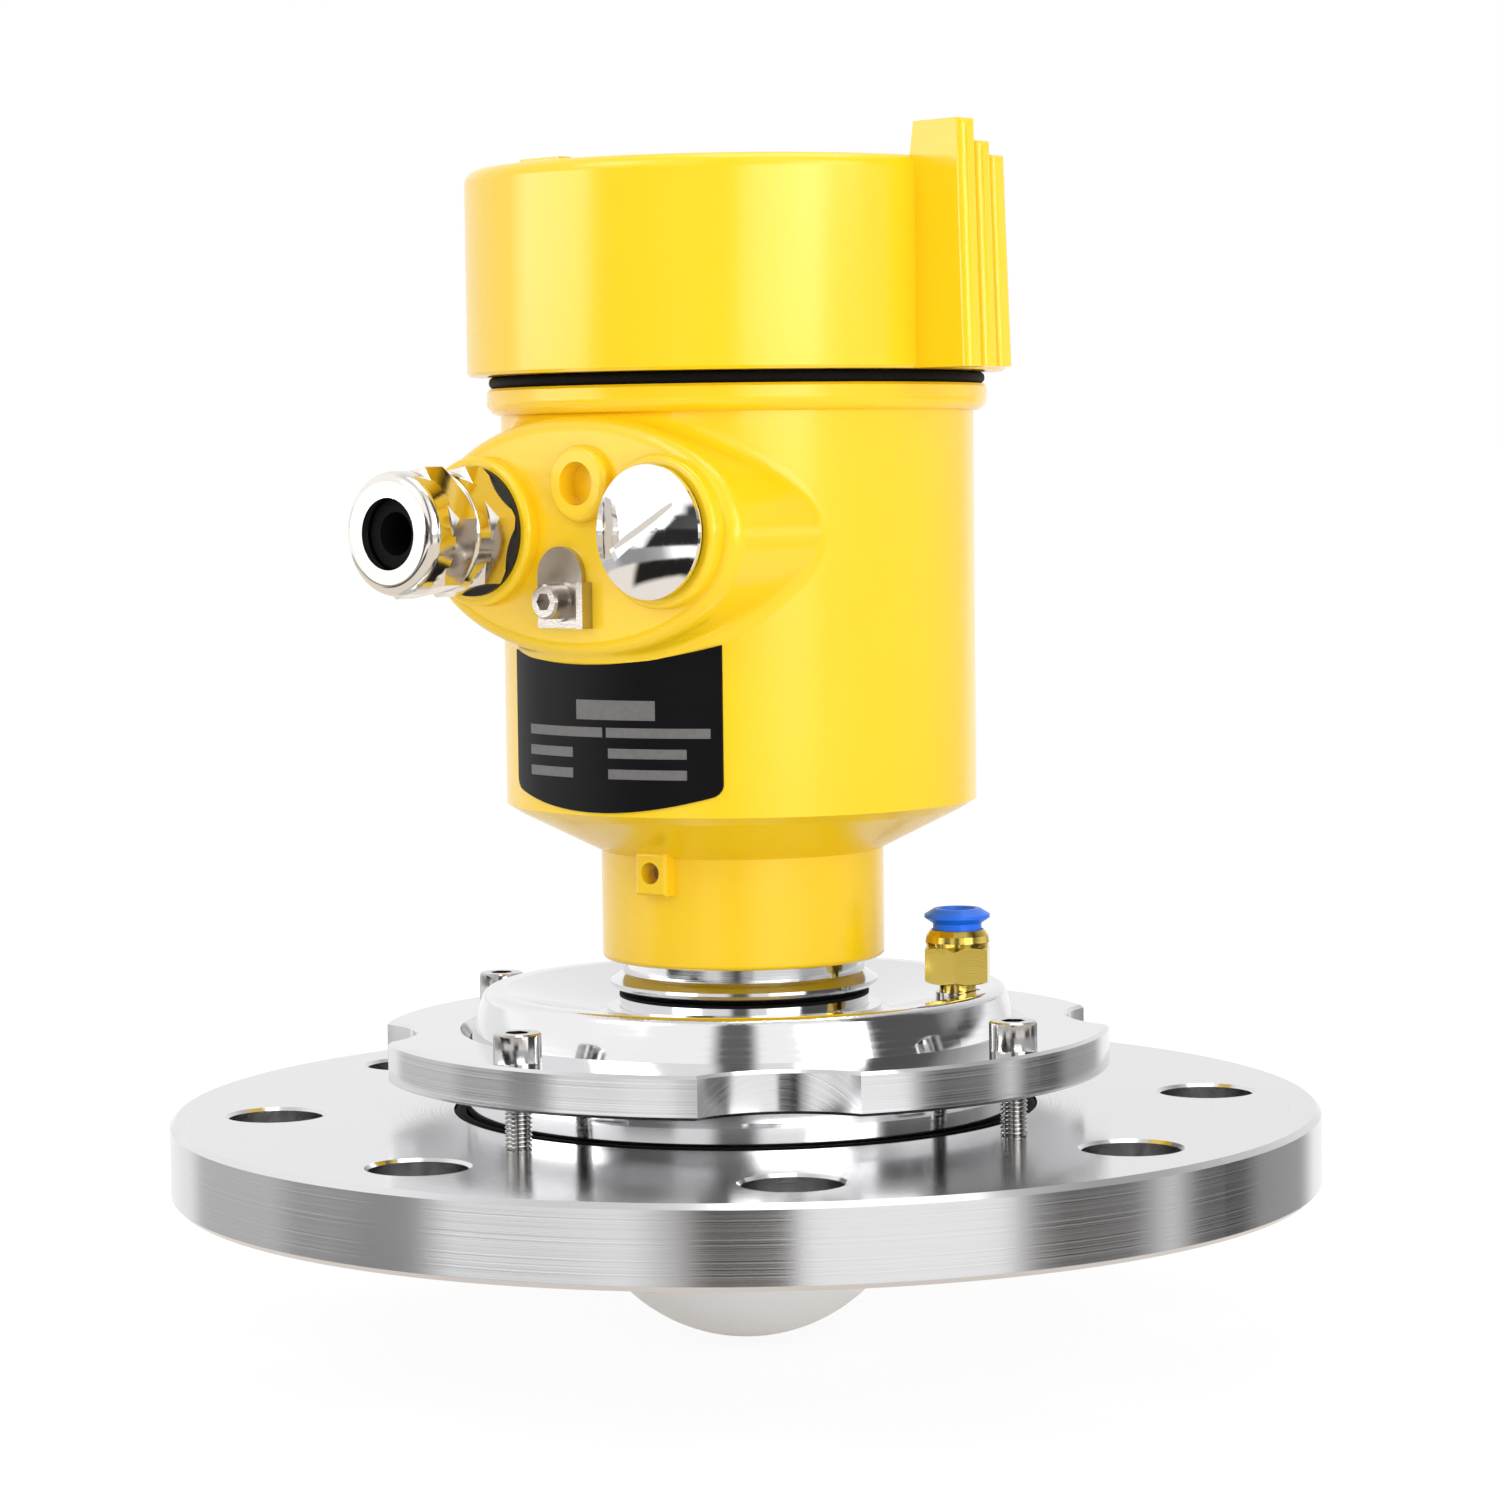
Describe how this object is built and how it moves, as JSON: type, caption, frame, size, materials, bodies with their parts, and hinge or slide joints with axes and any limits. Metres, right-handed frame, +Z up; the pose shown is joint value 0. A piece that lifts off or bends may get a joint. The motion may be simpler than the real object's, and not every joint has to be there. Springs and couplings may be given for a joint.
{
  "type": "radar level transmitter",
  "caption": "Radar level transmitter: a yellow cast housing with cable gland on a swivelling stainless ball holder, clamped on a round process flange with a dome lens antenna below.",
  "frame": {"origin": "centre of the bolt circle on the lower face of the process flange plate, where its rim meets the plate; the raised sealing face is 2 mm below it", "axes": "+Z points up the housing away from the vessel, -Y is the side of the cable entries and the nameplate, +X is to the right when facing that side"},
  "size_m": [0.22, 0.22, 0.2286],
  "materials": {
    "flange_steel": "turned, satin",
    "ring_steel": "fine turned, bright",
    "screw_steel": "plain stainless",
    "seal_rubber": "matt black",
    "ball_steel": "polished",
    "lens_plastic": "satin white fluoropolymer",
    "horn_aluminium": "turned",
    "stem_steel": "turned, bright",
    "module_can": "plain",
    "fitting_brass": "turned, bright",
    "collar_plastic": "blue, smooth",
    "housing_paint": "yellow powder coat on aluminium, glossy",
    "bush_plastic": "plain",
    "cup_plastic": "black, fine grain",
    "board": "green solder mask",
    "terminal_plastic": "green, fine grain",
    "terminal_metal": "plated",
    "display_plastic": "dark grey, fine grain",
    "display_window": "clear over a grey-green display",
    "gasket_fibre": "matt",
    "gland_nickel": "nickel plated brass, polished",
    "plug_chrome": "polished",
    "plate_black": "black foil, satin",
    "key_rubber": "grey, matt"
  },
  "bodies": {
    "base": {"process_flange": "flange_steel", "clamp_ring": "ring_steel", "clamp_screws": "screw_steel"},
    "seat": {"seat_o_ring": "seal_rubber"},
    "ball": {"aiming_ball": "ball_steel", "antenna_lens": "lens_plastic", "lens_o_ring": "seal_rubber", "lens_retaining_ring": "ring_steel", "feed_horn": "horn_aluminium", "stem": "stem_steel", "stem_o_ring": "seal_rubber", "radar_module": "module_can", "purge_nipple": "screw_steel", "purge_fitting_body": "fitting_brass", "purge_tube_seal": "seal_rubber"},
    "purge_collar": {"purge_release_collar": "collar_plastic"},
    "housing": {"housing_body": "housing_paint", "neck_bush": "bush_plastic", "neck_o_ring": "seal_rubber", "neck_set_screw": "screw_steel", "lid_o_ring": "seal_rubber", "electronics_cup": "cup_plastic", "display_carrier": "cup_plastic", "main_circuit_board": "board", "terminal_block": "terminal_plastic", "terminal_screws": "terminal_metal", "display_module": "display_plastic", "display_glass": "display_window", "gland_gasket": "gasket_fibre", "gland_body": "gland_nickel", "gland_seal": "seal_rubber", "plug_gasket": "gasket_fibre", "blanking_plug": "plug_chrome", "ground_clamp": "screw_steel", "ground_washer": "screw_steel", "ground_screw": "screw_steel", "nameplate": "plate_black"},
    "lid": {"lid": "housing_paint"},
    "gland_nut": {"gland_cap_nut": "gland_nickel"},
    "key_1": {"display_key_1": "key_rubber"},
    "key_2": {"display_key_2": "key_rubber"},
    "key_3": {"display_key_3": "key_rubber"},
    "key_4": {"display_key_4": "key_rubber"}
  },
  "joints": [
    {"name": "aim_direction", "type": "hinge", "parent": "base", "child": "seat", "pos_m": [0, 0, 0.0185], "axis": [0, 0, 1], "continuous": true},
    {"name": "aim_tilt", "type": "hinge", "parent": "seat", "child": "ball", "pos_m": [0, 0, 0.0185], "axis": [1, 0, 0], "range_deg": [-10, 10]},
    {"name": "housing_turn", "type": "hinge", "parent": "ball", "child": "housing", "pos_m": [0, 0, 0.0625], "axis": [0, 0, 1], "range_deg": [-165, 165]},
    {"name": "lid_lift", "type": "slide", "parent": "housing", "child": "lid", "axis": [0, 0, 1], "range_m": [0, 0.06]},
    {"name": "gland_nut_turn", "type": "hinge", "parent": "housing", "child": "gland_nut", "pos_m": [-0.0222, -0.0645, 0.126], "axis": [0, -1, 0], "range_deg": [0, 360]},
    {"name": "purge_collar_press", "type": "slide", "parent": "ball", "child": "purge_collar", "axis": [0, 0, -1], "range_m": [0, 0.0012], "stiffness_N_per_m": 2000},
    {"name": "key_1_press", "type": "slide", "parent": "housing", "child": "key_1", "axis": [0, 0, -1], "range_m": [0, 0.0006], "stiffness_N_per_m": 1000},
    {"name": "key_2_press", "type": "slide", "parent": "housing", "child": "key_2", "axis": [0, 0, -1], "range_m": [0, 0.0006], "stiffness_N_per_m": 1000},
    {"name": "key_3_press", "type": "slide", "parent": "housing", "child": "key_3", "axis": [0, 0, -1], "range_m": [0, 0.0006], "stiffness_N_per_m": 1000},
    {"name": "key_4_press", "type": "slide", "parent": "housing", "child": "key_4", "axis": [0, 0, -1], "range_m": [0, 0.0006], "stiffness_N_per_m": 1000}
  ]
}
